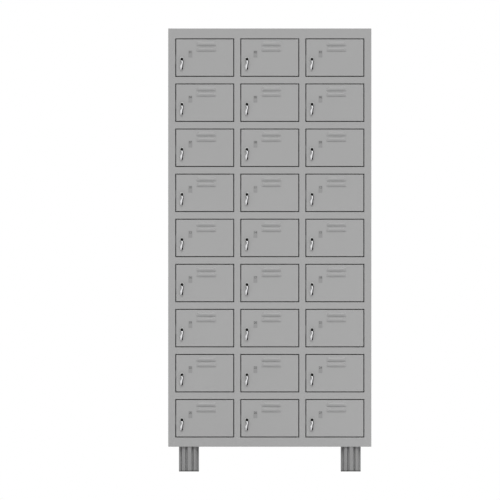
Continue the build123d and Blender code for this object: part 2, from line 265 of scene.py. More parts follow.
clouds = noise_of_size(given["Drift size"], 3.0)
waves = noise_of_size(given["Wave size"], 1.5)
grain = noise_of_size(given["Grain size"], 2.0)
doubled = calculate(uneven, "MULTIPLY", given["Drift"], 2.0)
cloudy = calculate(uneven, "ADD", 1.0, around_zero(clouds, doubled))
speckled = calculate(uneven, "ADD", cloudy, around_zero(grain, given["Drift"]))
rough_drift = around_zero(clouds, given["Roughness drift"])
rough = calculate(uneven, "ADD", given["Roughness"], rough_drift, clamp=True)
wave_height = calculate(uneven, "MULTIPLY", waves, given["Wave height"])
grain_height = calculate(uneven, "MULTIPLY", grain, given["Grain height"])
height = calculate(uneven, "ADD", wave_height, grain_height)
bump = add_node(uneven, "ShaderNodeBump", Strength=1.0, Distance=1.0, Height=height)
set_inputs(uneven, end, {
    "Colour": scale_colour(uneven, given["Colour"], speckled), "Roughness": rough,
    "Height": height, "Normal": bump.outputs[0],
})
print("the uneven surface group has", len(uneven.nodes), "nodes")

# %% [markdown]
# ## Spot welds
# Thin sheet is joined by spot welds: two electrodes squeeze the sheets and leave a row of shallow
# round dimples, about 6 mm across, every few centimetres. They run along each shelf behind the
# outer panels. Some 300 modelled dimples would cost many faces for very little, so the group folds
# the surface into a lattice, measures how far a point is from the nearest weld, and turns that
# into a dimple.

# %% Build the spot weld group
welds, given, end = new_group(
    "spot_welds",
    [
        ("Across", "Float", 0.0),
        ("Up", "Float", 0.0),
        ("Step across", "Float", 0.06),
        ("Step up", "Float", 0.202),
        ("Radius", "Float", 0.003),
        ("Depth", "Float", 0.0004),
    ],
    [("Height", "Float"), ("Mask", "Float")],
)


def offset_in_lattice(place, step):
    """Distance to the nearest lattice line, along one direction."""
    share = calculate(welds, "DIVIDE", place, step)
    left_over = calculate(welds, "SUBTRACT", share, calculate(welds, "ROUND", share))
    return calculate(welds, "MULTIPLY", left_over, step)


sideways = offset_in_lattice(given["Across"], given["Step across"])
upward = offset_in_lattice(given["Up"], given["Step up"])
square = calculate(welds, "MULTIPLY", sideways, sideways)
distance = calculate(welds, "SQRT", calculate(welds, "MULTIPLY_ADD", upward, upward, square))
rim = calculate(welds, "MULTIPLY", given["Radius"], 1.3)
flat_middle = calculate(welds, "MULTIPLY", given["Radius"], 0.75)
dimple = add_node(
    welds, "ShaderNodeMapRange", {"interpolation_type": "SMOOTHSTEP"},
    Value=distance, From_Min=flat_middle, From_Max=rim, To_Min=1.0, To_Max=0.0,
).outputs[0]
depth = calculate(welds, "MULTIPLY", dimple, given["Depth"])
set_inputs(welds, end, {"Height": calculate(welds, "MULTIPLY", depth, -1.0), "Mask": dimple})
print("the spot weld group has", len(welds.nodes), "nodes")

# %% [markdown]
# ## Paint
# The cabinet and its doors have one mid grey, slightly satin powder coat. A picture of painted
# steel would show its edges and repeat, and noise does neither. The sides and the back have the
# same coat over rows of spot welds, with painted shade in the dimples: the colour is made darker
# there.

# %% Mix the paint
def join_surface(tree, shader, **values):
    """Joins an uneven surface to a shader and returns it."""
    surface = use_group(tree, uneven, **values)
    result = surface.outputs
    set_inputs(tree, shader, {
        "Base_Color": result["Colour"], "Roughness": result["Roughness"], "Normal": result["Normal"],
    })
    return surface


def finish_of(name, metallic=0.0, specular=0.5, **values):
    """A finish with an uneven surface."""
    material, tree, shader = new_finish(name, metallic, specular)
    join_surface(tree, shader, **values)
    return material


def grey(value, blue=0.0):
    """A grey, with a little more blue where it is asked for."""
    return (value, value, value * (1 + blue), 1)


weld_painted_shade = 0.12


def welded_paint(name, along, step_along, first_row, step_rows):
    """Powder coat over rows of spot welds, along one axis and up the other, with painted shade in the
    dimples.
    """
    material, tree, shader = new_finish(name)
    surface = join_surface(tree, shader, **paint_values)
    place = add_node(tree, "ShaderNodeTexCoord").outputs["Object"]
    split = add_node(tree, "ShaderNodeSeparateXYZ", Vector=place).outputs
    row = calculate(tree, "SUBTRACT", split["Z"], first_row)
    weld = use_group(
        tree, welds, Across=split[along], Up=row, Step_across=step_along, Step_up=step_rows
    ).outputs
    height = calculate(tree, "ADD", surface.outputs["Height"], weld["Height"])
    bump = add_node(tree, "ShaderNodeBump", Strength=1.0, Distance=1.0, Height=height)
    # painted shade: the paint colour is made darker inside each weld dimple
    shade = calculate(tree, "MULTIPLY_ADD", weld["Mask"], -weld_painted_shade, 1.0)
    shaded = scale_colour(tree, surface.outputs["Colour"], shade)
    set_inputs(tree, shader, {"Normal": bump.outputs[0], "Base_Color": shaded})
    return material


paint_values = dict(
    Colour=grey(0.355), Drift=0.025, Drift_size=0.35, Roughness=0.46, Roughness_drift=0.08,
    Wave_size=0.0035, Wave_height=0.00016, Grain_size=0.0008, Grain_height=0.000008,
)
paint = finish_of("powder_coat", **paint_values)
inside_paint = finish_of("powder_coat_inside", **{**paint_values, "Drift": 0.03, "Roughness": 0.52})
shelf_weld_row = door_bottom - door_gap - 6 * mm
side_paint = welded_paint("powder_coat_side", "Y", 0.062, shelf_weld_row, row_step)
back_paint = welded_paint("powder_coat_back", "X", 0.0583, shelf_weld_row, row_step)
print("paints:", [material.name for material in bpy.data.materials])

# %% [markdown]
# ## Metal and plastic
# A lever is a chrome strip on a black body. The number plates are grey anodised aluminium, brushed
# sideways, with dark numbers. The parts inside are zinc plated, the hinge pins are black steel,
# and the legs are a darker grey plastic on rubber feet. Bare metals have Metallic at 1 and take
# their colour from what they mirror, and the small waves break that up.

# %% Mix the metals and plastics
chrome = finish_of(
    "chrome", metallic=1.0,
    Colour=grey(0.76, 0.02), Drift=0.02, Drift_size=0.02, Roughness=0.16, Roughness_drift=0.08,
    Wave_size=0.004, Wave_height=0.000008, Grain_size=0.0006, Grain_height=0.0000008,
)
black = finish_of(
    "black_plastic", specular=0.12,
    Colour=grey(0.008), Drift=0.15, Drift_size=0.01, Roughness=0.45, Roughness_drift=0.1,
    Wave_size=0.002, Wave_height=0.00001, Grain_size=0.0004, Grain_height=0.000004,
)
zinc = finish_of(
    "zinc_plate", metallic=1.0,
    Colour=(0.50, 0.51, 0.50, 1), Drift=0.05, Drift_size=0.012, Roughness=0.36, Roughness_drift=0.2,
    Wave_size=0.002, Wave_height=0.000012, Grain_size=0.0005, Grain_height=0.000003,
)
dark_steel = finish_of(
    "black_oxide_steel", metallic=1.0,
    Colour=(0.035, 0.036, 0.04, 1), Drift=0.1, Drift_size=0.008, Roughness=0.42, Roughness_drift=0.15,
    Wave_size=0.002, Wave_height=0.000008, Grain_size=0.0005, Grain_height=0.000003,
)
plate = finish_of(
    "number_plate", metallic=0.35,
    Colour=grey(0.285), Drift=0.05, Drift_size=0.01, Roughness=0.42, Roughness_drift=0.1,
    Wave_size=0.0015, Wave_height=0.000004, Grain_size=0.0003, Grain_height=0.000003,
    Stretch=(0.12, 1, 1),
)
ink = finish_of(
    "number_ink", specular=0.25,
    Colour=grey(0.075), Drift=0.1, Drift_size=0.004, Roughness=0.55, Roughness_drift=0.1,
    Wave_size=0.001, Wave_height=0.000004, Grain_size=0.0003, Grain_height=0.000003,
)
plastic = finish_of(
    "leg_plastic", specular=0.35,
    Colour=grey(0.27), Drift=0.02, Drift_size=0.05, Roughness=0.5, Roughness_drift=0.1,
    Wave_size=0.003, Wave_height=0.00001, Grain_size=0.0007, Grain_height=0.000012,
)
rubber = finish_of(
    "foot_rubber", specular=0.25,
    Colour=grey(0.17), Drift=0.05, Drift_size=0.03, Roughness=0.75, Roughness_drift=0.1,
    Wave_size=0.002, Wave_height=0.00001, Grain_size=0.0006, Grain_height=0.00001,
)
print("finishes:", len(bpy.data.materials))

# %% [markdown]
# ## Modelling by hand, in code
# Every piece starts as a primitive at its real size and is then shaped in edit mode, as with the
# mouse. An operator acts on whatever is selected, so nothing may be left selected from before. The
# first helpers clear the selection and add a block, a flat sheet or a rod. The place of each goes
# into its mesh at once, so that the object itself stays at the origin.

# %% Add primitives
upwards, downwards, inwards = (0, 0, 1), (0, 0, -1), (0, 1, 0)


def start_fresh():
    """Leaves edit mode and clears the selection."""
    if bpy.context.mode != "OBJECT":
        bpy.ops.object.mode_set(mode="OBJECT")
    bpy.ops.object.select_all(action="DESELECT")


def named(name):
    """Names the primitive that was just added and puts its place into its mesh."""
    piece = bpy.context.object
    piece.name = piece.data.name = name
    bpy.ops.object.transform_apply(location=True, rotation=True, scale=True)
    return piece


def add_block(name, low, high):
    """Box between two corners."""
    start_fresh()
    low, high = Vector(low), Vector(high)
    bpy.ops.mesh.primitive_cube_add(size=1, location=(low + high) / 2, scale=high - low)
    return named(name)


def add_sheet(name, low, high):
    """Flat rectangle that faces the front, between two corners."""
    start_fresh()
    low, high = Vector(low), Vector(high)
    middle = ((low.x + high.x) / 2, front, (low.z + high.z) / 2)
    bpy.ops.mesh.primitive_plane_add(size=1, location=middle, rotation=(math.radians(90), 0, 0))
    bpy.context.object.scale = (high.x - low.x, high.z - low.z, 1)
    return named(name)


def add_rod(name, radius, base, length, direction, sides=32):
    """Cylinder from a point along an axis."""
    start_fresh()
    direction = Vector(direction)
    bpy.ops.mesh.primitive_cylinder_add(
        vertices=sides, radius=radius, depth=length, location=Vector(base) + direction * length / 2,
        rotation=direction.to_track_quat("Z", "Y").to_euler(),
    )
    return named(name)


print("helpers for primitives are ready")

# %% [markdown]
# ## Selecting by place
# With the mouse, faces and edges are clicked. In code, a small test says by place or by normal
# which ones are meant. That also works when an operator before it has renumbered everything.

# %% Select parts of a mesh
def pick(*pieces):
    """Selects these objects and nothing else, and makes the first the active one."""
    start_fresh()
    for piece in pieces:
        piece.select_set(True)
    bpy.context.view_layer.objects.active = pieces[0]


def choose_all(piece, action="SELECT", kind="FACE"):
    """Enters edit mode with everything selected, or nothing."""
    pick(piece)
    bpy.ops.object.mode_set(mode="EDIT")
    bpy.ops.mesh.select_mode(type=kind)
    bpy.ops.mesh.select_all(action=action)


def choose(piece, kind, test):
    """Enters edit mode with only the faces or edges selected for which the test is true."""
    choose_all(piece, "DESELECT", kind)
    bpy.ops.object.mode_set(mode="OBJECT")
    mesh = piece.data
    if kind == "FACE":
        for face in mesh.polygons:
            face.select = bool(test(face.center, face.normal))
    else:
        for edge in mesh.edges:
            a, b = (mesh.vertices[index].co for index in edge.vertices)
            edge.select = bool(test(a, b))
    bpy.ops.object.mode_set(mode="EDIT")


def round_edges(piece, test, width, segments):
    """Rounds the edges for which the test is true."""
    choose(piece, "EDGE", test)
    bpy.ops.mesh.bevel(offset=width, segments=segments, affect="EDGES")


def point_outwards(piece):
    """Turns all faces the same way, outwards on a closed shape."""
    choose_all(piece)
    bpy.ops.mesh.normals_make_consistent(inside=False)


def merge_points(piece, distance=0.01 * mm):
    """Joins points that lie in the same place."""
    choose_all(piece)
    bpy.ops.mesh.remove_doubles(threshold=distance)
    bpy.ops.object.mode_set(mode="OBJECT")


print("helpers for selecting are ready")

# %% [markdown]
# ## Modifiers
# Modifiers do what would be slow by hand: a Bevel finds every sharp edge, and a Boolean drills a
# hole or welds two shapes into one skin. Each is applied at once, so the mesh is the final shape.

# %% Apply modifiers
def modify(piece, kind, **settings):
    """Adds a modifier and applies it."""
    pick(piece)
    modifier = piece.modifiers.new(kind.lower(), kind)
    for name, value in settings.items():
        setattr(modifier, name, value)
    bpy.ops.object.modifier_apply(modifier=modifier.name)


def soften(piece, width, segments=2, angle=30):
    """Rounds every edge that is sharper than the angle."""
    modify(
        piece, "BEVEL", width=width, segments=segments, limit_method="ANGLE",
        angle_limit=math.radians(angle),
    )


def cut_away(piece, tool):
    """Cuts the tool's shape out of the piece and throws the tool away."""
    modify(piece, "BOOLEAN", operation="DIFFERENCE", object=tool, solver="EXACT")
    bpy.data.objects.remove(tool)


def weld_on(piece, tool):
    """Adds the tool's shape to the piece and throws the tool away."""
    modify(piece, "BOOLEAN", operation="UNION", object=tool, solver="EXACT")
    bpy.data.objects.remove(tool)


def join(*pieces):
    """Makes one object of several."""
    pick(*pieces)
    bpy.ops.object.join()
    return pieces[0]


print("helpers for modifiers are ready")

# %% [markdown]
# ## Finishing and copying
# A finished piece is shaded smooth up to an angle, gets its material, and is told its body and
# the CAD node that it replaces. A copy gets its own mesh and is moved inside it. Its object stays
# at the origin, because the frame moves the objects itself when a door swings.

# %% Finish and copy pieces
def complete(piece, finish, slot, body, replaces=(), angle=35, flat=True):
    """Shades a finished piece, gives it its finish, and lets it ride on its body."""
    pick(piece)
    bpy.ops.object.shade_smooth_by_angle(angle=math.radians(angle))
    if flat:
        modify(piece, "WEIGHTED_NORMAL", keep_sharp=True)
    piece.data.materials.clear()
    piece.data.materials.append(finish)
    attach(piece, body)
    if replaces:
        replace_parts(piece, *replaces)


def copy_to(piece, name, shift):
    """A copy with its own mesh, moved inside that mesh."""
    twin = piece.copy()
    twin.data = piece.data.copy()
    twin.data.transform(Matrix.Translation(shift))
    twin.name = twin.data.name = name
    bpy.context.scene.collection.objects.link(twin)
    return twin


def repeat(piece, base, finish, slot, body, node="", **rest):
    """Finishes the piece of compartment 1 and copies it to the other 26."""
    piece.name = piece.data.name = f"{base}_01"
    complete(piece, finish, slot, body.format("01"), [node.format("01")] if node else (), **rest)
    for label, shift in grid[1:]:
        twin = copy_to(piece, f"{base}_{label}", shift)
        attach(twin, body.format(label))
        if node:
            twin["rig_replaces"] = []
            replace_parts(twin, node.format(label))
    print(base, "x", len(grid), "with", len(piece.data.polygons), "faces each")


print("helpers for finishing are ready")

# %% [markdown]
# ## Front frame
# The front of the cabinet is a welded lattice of square tube: uprights and rails, 20 mm deep, with
# the welds ground flush. Separate tubes would show seams that the real one doesn't have, so it
# starts as one plane. Bisecting the plane along the edges of every opening gives a face for each,
# those 27 faces are deleted, and the rest is extruded back. A small bevel rounds the edges as the
# bending and the paint do.

# %% Cut the lattice
frame_depth = 20 * mm
frame_back = front + frame_depth
opening_left, opening_right = door_left - door_gap, door_right + door_gap
opening_bottom, opening_top = door_bottom - door_gap, door_top + door_gap
last_right = opening_right + (columns - 1) * column_step
last_bottom = opening_bottom - (rows - 1) * row_step
lattice = add_sheet("frame_lattice", frame_low, frame_high)
for column in range(columns):
    for x in (opening_left, opening_right):
        choose_all(lattice)
        bpy.ops.mesh.bisect(plane_co=(x + column * column_step, 0, 0), plane_no=(1, 0, 0))
for row in range(rows):
    for z in (opening_bottom, opening_top):
        choose_all(lattice)
        bpy.ops.mesh.bisect(plane_co=(0, 0, z - row * row_step), plane_no=(0, 0, 1))


def in_an_opening(center, normal):
    """True for the face of an opening. The steps fold every opening onto the first one."""
    inside = opening_left < center.x < last_right and last_bottom < center.z < opening_top
    across = (center.x - opening_left) % column_step
    up = (center.z - opening_bottom) % row_step
    return inside and across < opening_right - opening_left and up < opening_top - opening_bottom


choose(lattice, "FACE", in_an_opening)
bpy.ops.mesh.delete(type="FACE")
choose_all(lattice)
bpy.ops.mesh.extrude_region_move(TRANSFORM_OT_translate={"value": (0, frame_depth, 0)})
point_outwards(lattice)
soften(lattice, 0.5 * mm)
print("lattice faces:", len(lattice.data.polygons))

# %% [markdown]
# ## Pin holes
# The hinge pins turn in holes in the rails. One long rod through each opening, 6 mm deeper at both
# ends, cuts both holes of a door at once, and all 27 rods are joined, so that one Boolean does it.

# %% Drill the pin holes
pin_x, pin_y = door_right - 8 * mm, front + 6 * mm
pin_hole, drilled_deeper = 2.6 * mm, 6 * mm
drill = add_rod(
    "drill", pin_hole, (pin_x, pin_y, opening_bottom - drilled_deeper),
    opening_top - opening_bottom + 2 * drilled_deeper, upwards, sides=20,
)
drills = [drill] + [copy_to(drill, "drill", shift) for label, shift in grid[1:]]
cut_away(lattice, join(*drills))
complete(lattice, paint, "cabinet_paint", "cabinet", ["front_frame"])
print("lattice faces with", 2 * len(drills), "holes:", len(lattice.data.polygons))

# %% [markdown]
# ## Keepers
# A small steel lip is welded into the left side of each opening. The closed door rests against it
# and the cam of the latch turns behind it. It is a strip with its two free corners rounded. Edge
# bevels in edit mode round only those two corners, and a modifier would round all of them alike.

# %% Make the keepers
latch_x, latch_z = door_left + 25.7 * mm, door_top - 89 * mm
keeper_width, keeper_half, keeper_sheet = 12 * mm, 20 * mm, 1.5 * mm
keeper = add_block(
    "keeper", (opening_left, frame_back - keeper_sheet, latch_z - keeper_half),
    (opening_left + keeper_width, frame_back, latch_z + keeper_half),
)
keeper_middle = opening_left + keeper_width / 2
round_edges(
    keeper, lambda a, b: abs(a.y - b.y) > mm and min(a.x, b.x) > keeper_middle, 3 * mm, segments=5
)
soften(keeper, 0.25 * mm)
repeat(keeper, "keeper", paint, "cabinet_paint", "cabinet")

# %% [markdown]
# ## Outer panels
# The sides, top, bottom and back are sheet steel, 0.9 mm thick, welded edge to edge and ground.
# They are thin blocks with softened edges, so that a fine seam shows where two of them meet. One
# hollow box would be quicker, but it would have no seams. The sides and the top come first.

# %% Make the panels
sheet = 0.9 * mm
low, high = cabinet_low, cabinet_high
side = add_block("side_left", (low.x, low.y, low.z + sheet), (low.x + sheet, high.y, high.z - sheet))
soften(side, 0.25 * mm)
complete(side, side_paint, "cabinet_paint", "cabinet", ["outer_panels"])
other_side = copy_to(side, "side_right", (high.x - low.x - sheet, 0, 0))
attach(other_side, "cabinet")
top = add_block("top_panel", (low.x, low.y, high.z - sheet), (high.x, high.y, high.z))
soften(top, 0.3 * mm)
complete(top, paint, "cabinet_paint", "cabinet")
print("the cabinet is", [round(size / mm) for size in high - low], "mm over its panels")

# %% [markdown]
# ## Bottom
# The bottom is a panel too, drilled for the bolts that hold the legs. Four bolts stand in a ring
# over each leg. The same drills are needed again for the legs, so they get a helper.

# %% Make and drill the bottom
leg_from_side, leg_from_front, bolt_circle, bolt_hole = 92.6 * mm, 48 * mm, 19 * mm, 4.5 * mm
leg_x = high.x - leg_from_side
leg_places = []
for y in (front + leg_from_front, high.y - leg_from_front):
    leg_places += [(-leg_x, y), (leg_x, y)]
bolt_ring = []
for turn in (45, 135, 225, 315):
    angle = math.radians(turn)
    bolt_ring.append((bolt_circle * math.cos(angle), bolt_circle * math.sin(angle)))


def drill_for_bolts(piece, places, start, length):
    """Drills the ring of bolt holes over each of these legs, from a height upwards."""
    starts = [(x + a, y + b, start) for x, y in places for a, b in bolt_ring]
    drills = [add_rod("drill", bolt_hole, place, length, upwards, sides=20) for place in starts]
    cut_away(piece, join(*drills))


bottom = add_block("bottom_panel", (low.x, low.y, low.z), (high.x, high.y, low.z + sheet))
soften(bottom, 0.3 * mm)
drill_for_bolts(bottom, leg_places, low.z - 2 * mm, 5 * mm)
complete(bottom, paint, "cabinet_paint", "cabinet")
print("bottom faces with", len(leg_places) * len(bolt_ring), "holes:", len(bottom.data.polygons))

# %% [markdown]
# ## Back
# The back is the plainest sheet of all, and nothing but its seams and its rows of spot welds shows
# that it is steel. It is a thin block like the sides, with the welds in its paint.

# %% Close the back
back = add_block("back_sheet", *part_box("back_panel"))
soften(back, 0.3 * mm)
complete(back, back_paint, "cabinet_paint", "cabinet", ["back_panel"])
print("back faces:", len(back.data.polygons))

# %% [markdown]
# ## Partitions
# Two upright sheets divide the columns. Each stands in the middle between two openings, from the
# front frame to the back panel.

# %% Make the partitions
inner_back = high.y - sheet
for name, x in (("partition_left", -column_step / 2), ("partition_right", column_step / 2)):
    wall = add_block(
        name, (x - sheet / 2, frame_back, low.z + sheet), (x + sheet / 2, inner_back, high.z - sheet)
    )
    soften(wall, 0.2 * mm)
    replaced = ["partitions_and_shelves"] if x < 0 else ()
    complete(wall, inside_paint, "cabinet_paint", "cabinet", replaced)
    print(name, "has", len(wall.data.polygons), "faces")

# %% [markdown]
# ## Shelves
# Each compartment stands on a folded tray: a sheet whose four edges are bent down 12 mm to make it
# stiff. A tray is a block without its bottom face, with its top edges rounded like a bend. Solidify
# then gives it a wall, which is easier to keep even than to model the inside as well.

# %% Fold the shelves
shelf_lip, bend = 12 * mm, 1.2 * mm
wall_faces = (low.x + sheet, -column_step / 2 - sheet / 2, -column_step / 2 + sheet / 2)
wall_faces += (column_step / 2 - sheet / 2, column_step / 2 + sheet / 2, high.x - sheet)
for column in range(columns):
    left, right = wall_faces[2 * column], wall_faces[2 * column + 1]
    tray = add_block(
        "shelf", (left, frame_back, opening_bottom - shelf_lip), (right, inner_back, opening_bottom)
    )
    choose(tray, "FACE", lambda center, normal: normal.z < -0.5)
    bpy.ops.mesh.delete(type="FACE")
    round_edges(
        tray, lambda a, b: min(a.z, b.z) > opening_bottom - mm or abs(a.z - b.z) > mm, bend, segments=3
    )
    modify(tray, "SOLIDIFY", thickness=sheet, offset=-1, use_even_offset=True)
    merge_points(tray)
    tray.name = tray.data.name = f"shelf_{column + 1:02d}"
    complete(tray, inside_paint, "cabinet_paint", "cabinet")
    for row in range(1, rows):
        twin = copy_to(tray, f"shelf_{row * columns + column + 1:02d}", (0, 0, -row * row_step))
        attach(twin, "cabinet")

# %% [markdown]
# ## Outline of the legs
# Each leg is a moulded column with nine deep flutes down its sides. The outline is a circle with
# narrow round-bottomed slots in it and soft corners at their mouths. Cutting nine slots out of a
# cylinder would leave sharp mouths, so the points of one flute are worked out here and turned.

# %% Draw the fluted outline
leg_radius, flute_half, flute_middle, mouth_radius = 45.0, 4.5, 36.0, 4.8
flutes, first_flute = 9, 24 - 90
flute_step = 360 / flutes
halfway = flute_step / 2
mouth_x = math.sqrt((leg_radius - mouth_radius) ** 2 - (flute_half + mouth_radius) ** 2)
mouth_end = math.degrees(math.atan2(flute_half + mouth_radius, mouth_x))


def arc(x, y, radius, start, end, steps):
    """Points in equal steps along an arc, in millimetres and degrees, without its end."""
    angles = [math.radians(start + (end - start) * step / steps) for step in range(steps)]
    return [(x + radius * math.cos(angle), y + radius * math.sin(angle)) for angle in angles]


half = arc(flute_middle, 0, flute_half, 180, 90, 6) + [(flute_middle, flute_half)]
half += arc(mouth_x, flute_half + mouth_radius, mouth_radius, -90, mouth_end, 6)
half += arc(0, 0, leg_radius, mouth_end, halfway, 3)
one_flute = [(x, -y) for x, y in reversed(half[1:])] + half
one_flute += arc(0, 0, leg_radius, halfway, halfway + 1, 1)
leg_outline = []
for number in range(flutes):
    turn = Matrix.Rotation(math.radians(first_flute + number * flute_step), 2)
    leg_outline += [turn @ Vector(point) * mm for point in one_flute]
print("the outline has", len(leg_outline), "points")

# %% [markdown]
# ## Legs and feet
# The outline is drawn by moving the points of a filled circle, and extruded up. The leg is hollow,
# with a deck at the top that four bolts go through. The foot below has the same outline, a rounded
# bottom edge, and a round spigot that fits into the leg.

# %% Extrude the legs and feet
foot_height, deck, bore_radius = 6 * mm, 6 * mm, 28 * mm


def add_outline(name, outline, place, thickness):
    """A filled outline whose points are put in place one by one, extruded by the thickness."""
    start_fresh()
    bpy.ops.mesh.primitive_circle_add(vertices=len(outline), radius=10 * mm, fill_type="NGON")
    piece = named(name)
    for point, (x, y) in zip(piece.data.vertices, outline):
        point.co = place(x, y)
    choose_all(piece)
    bpy.ops.mesh.extrude_region_move(TRANSFORM_OT_translate={"value": thickness})
    point_outwards(piece)
    return piece


def on_leg(height):
    """The place of a point of the outline on the first leg, at a height."""
    return lambda x, y: (place.x + x, place.y + y, height)


place = Vector((*leg_places[0], 0))
leg = add_outline("leg", leg_outline, on_leg(foot_height), (0, 0, low.z - foot_height))
soften(leg, 0.5 * mm, angle=60)
cut_away(leg, add_rod("bore", bore_radius, place, low.z - deck, upwards, sides=64))
drill_for_bolts(leg, leg_places[:1], low.z - 10 * mm, 15 * mm)
foot = add_outline("foot", leg_outline, on_leg(0), (0, 0, foot_height))
round_edges(foot, lambda a, b: max(a.z, b.z) < mm, 2 * mm, segments=4)
spigot_base = place + Vector((0, 0, mm))
weld_on(foot, add_rod("spigot", bore_radius - 0.2 * mm, spigot_base, 17 * mm, upwards, sides=64))
print("leg faces:", len(leg.data.polygons), "foot faces:", len(foot.data.polygons))

# %% [markdown]
# ## Four legs and their bolts
# The first leg is finished and copied to the other corners. The bolts and nuts hardly show, so
# they keep the shape of their CAD node and only get a finish.

# %% Finish the legs and the bolts
complete(leg, plastic, "leg_plastic", "cabinet", ["legs_and_feet"], angle=40)
complete(foot, rubber, "leg_plastic", "cabinet", angle=40)
for label, other in zip(("front_right", "back_left", "back_right"), leg_places[1:]):
    shift = Vector((*other, 0)) - place
    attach(copy_to(leg, f"leg_{label}", shift), "cabinet")
    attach(copy_to(foot, f"foot_{label}", shift), "cabinet")
leg.name = leg.data.name = "leg_front_left"
foot.name = foot.data.name = "foot_front_left"
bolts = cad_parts["leg_bolts"]
bolts.data.materials.clear()
bolts.data.materials.append(zinc)
print("legs:", len(leg_places), "and the bolts are", bolts.data.materials[0].name)

# %% [markdown]
# ## Shape of a louvre
# A louvre lets air into the compartment. The press lances the sheet along a lip and pushes it out:
# the louvre swells out from the door, is fullest halfway, and turns back in towards its lip. These
# pairs are heights above the lip and how far out the sheet is there, in millimetres. Towards the
# two ends the push fades away, so that the ends are round.

# %% Describe the louvres
louvre_middle = door_left + door_width / 2 + 6.7 * mm
louvre_half = 46 * mm
left_end, right_end = louvre_middle - louvre_half, louvre_middle + louvre_half
louvre_lips = [door_top - (29.0 + 24.5 * number) * mm for number in range(2)]
louvre_profile = (
    (0, 2.2), (1.5, 3.3), (3, 4.3), (4.7, 5.2), (6.5, 5.95), (8.2, 6.5), (10, 6.85), (11.8, 7.0),
    (13.2, 6.7), (14.6, 5.9), (16, 4.7), (17.4, 3.2), (18.6, 1.8), (19.5, 0.8), (20.4, 0.0),
)
louvre_top = louvre_profile[-1][0] * mm
louvre_ends = (1.5, 3.5, 6, 9, 12, 15)
margin = 1.5 * mm
fade, narrowing = 11, 0.03
touching = 1e-6


def louvre_push(rise, from_end):
    """How far out a point of the louvre is, in metres, for its place in millimetres."""
    out = 0.0
    for (low_rise, low_out), (high_rise, high_out) in zip(louvre_profile, louvre_profile[1:]):
        if low_rise <= rise <= high_rise + 1e-4:
            out = low_out + (high_out - low_out) * (rise - low_rise) / (high_rise - low_rise)
    share = min(max((from_end - narrowing * rise * rise) / fade, 0), 1)
    return out * (1 - (1 - share) ** 2) * mm


print("a louvre is", round(louvre_top / mm, 1), "mm high and", round(2 * louvre_half / mm), "mm wide")

# %% [markdown]
# ## Door leaf
# A door is one sheet, pressed and folded into a shallow pan. It starts as a plane. The louvres are
# marked out by bisecting small areas into strips, and the sheet is split along each lip. Sculpting
# would make each louvre different, so every point is moved by the same rule. The faces around the
# louvres stay flat, because the strips don't run past them.

# %% Mark out and press the louvres
leaf = add_sheet("leaf", (door_left, front, door_bottom), (door_right, front, door_top))


def mark_line(x=None, z=None, where=lambda center, normal: True):
    """Cuts a straight line into the chosen faces of the leaf, upright at x or level at z."""
    choose(leaf, "FACE", where)
    place, across = ((x, 0, 0), (1, 0, 0)) if z is None else ((0, 0, z), (0, 0, 1))
    bpy.ops.mesh.bisect(plane_co=place, plane_no=across)


def in_louvre(lip):
    """The test for faces between the lip and the top of a louvre."""
    return lambda center, normal=None: (
        left_end < center.x < right_end and lip < center.z < lip + louvre_top
    )


def on_lip(lip):
    """The test for edges along the lip of a louvre."""
    return lambda a, b: (
        abs(a.z - lip) + abs(b.z - lip) < touching
        and min(a.x, b.x) > left_end - touching and max(a.x, b.x) < right_end + touching
    )


for x in (left_end - margin, left_end, right_end, right_end + margin):
    mark_line(x=x)
for lip in louvre_lips:
    for z in (lip, lip + louvre_top, lip + louvre_top + margin):
        mark_line(z=z)
for lip in louvre_lips:
    for rise, out in louvre_profile[1:-1]:
        mark_line(z=lip + rise * mm, where=in_louvre(lip))
    for end in louvre_ends:
        for x in (left_end + end * mm, right_end - end * mm):
            mark_line(x=x, where=in_louvre(lip))
    choose(leaf, "EDGE", on_lip(lip))
    bpy.ops.mesh.edge_split(type="EDGE")
    bpy.ops.object.mode_set(mode="OBJECT")
    pressed = set()
    for face in leaf.data.polygons:
        if in_louvre(lip)(face.center):
            pressed.update(face.vertices)
    for index in pressed:
        co = leaf.data.vertices[index].co
        from_end = min(co.x - left_end, right_end - co.x) / mm
        co.y -= louvre_push((co.z - lip) / mm, from_end)
print("leaf faces after pressing:", len(leaf.data.polygons))

# %% [markdown]
# ## Rim of the door
# The rim is extruded back 18 mm, as the folding press bends it, and the bends are rounded while
# the sheet has no thickness yet. Solidify then gives it its 1 mm, inside and outside bend alike.

# %% Fold the rim and give the sheet its thickness
rim_depth, door_sheet = 18 * mm, 1.0 * mm


def on_rim(a, b):
    """True for the four outer edges of the sheet."""
    for value, one, other in (
        (door_left, a.x, b.x), (door_right, a.x, b.x), (door_bottom, a.z, b.z), (door_top, a.z, b.z),
    ):
        if abs(one - value) + abs(other - value) < touching:
            return True
    return False


def at_corner(a, b):
    """True for the four edges that run back at the corners."""
    from_side = min(abs(a.x - door_left), abs(a.x - door_right))
    from_end = min(abs(a.z - door_bottom), abs(a.z - door_top))
    return from_side + from_end < touching and abs(a.x - b.x) + abs(a.z - b.z) < touching


def at_bend(a, b):
    """True for every edge that the press bends."""
    return at_corner(a, b) or (on_rim(a, b) and abs(a.y - front) + abs(b.y - front) < touching)


choose(leaf, "EDGE", on_rim)
bpy.ops.mesh.extrude_region_move(TRANSFORM_OT_translate={"value": (0, rim_depth, 0)})
round_edges(leaf, at_bend, bend, segments=4)
point_outwards(leaf)
bpy.ops.object.mode_set(mode="OBJECT")
facing_in = 0.0
for face in leaf.data.polygons:
    if abs(face.center.y - front) < mm:
        facing_in += face.area * face.normal.y
if facing_in > 0:
    choose_all(leaf)
    bpy.ops.mesh.flip_normals()
modify(leaf, "SOLIDIFY", thickness=door_sheet, offset=-1, use_even_offset=True)
print("leaf faces with both sides:", len(leaf.data.polygons))

